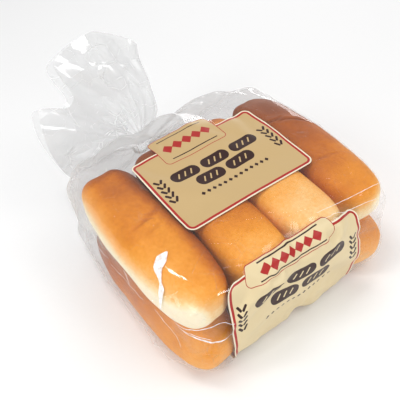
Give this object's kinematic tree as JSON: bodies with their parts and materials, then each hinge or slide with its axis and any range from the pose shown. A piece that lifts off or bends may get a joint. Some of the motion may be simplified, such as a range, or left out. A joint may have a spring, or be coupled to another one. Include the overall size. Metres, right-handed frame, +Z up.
{
  "type": "bagged hot dog buns",
  "caption": "Clear film bag packed with soft hot dog buns in two layers, its neck gathered by a twist tie below a loose ruffled tail.",
  "frame": {"origin": "middle of the flat base under the buns", "axes": "+Z up from the base, +Y along the buns towards the gathered neck, +X across the buns"},
  "size_m": [0.214, 0.277, 0.1397],
  "materials": {
    "clear_film": "thin clear glossy film with folds and glints",
    "bun_crust": "soft baked crust, golden on the crown and cream at the sides",
    "label_print": "opaque ink on film, tan field with a dark red line",
    "tie_paper": "white paper over a thin wire"
  },
  "bodies": {
    "root": {"bag": "clear_film", "tie": "tie_paper"}
  },
  "joints": []
}
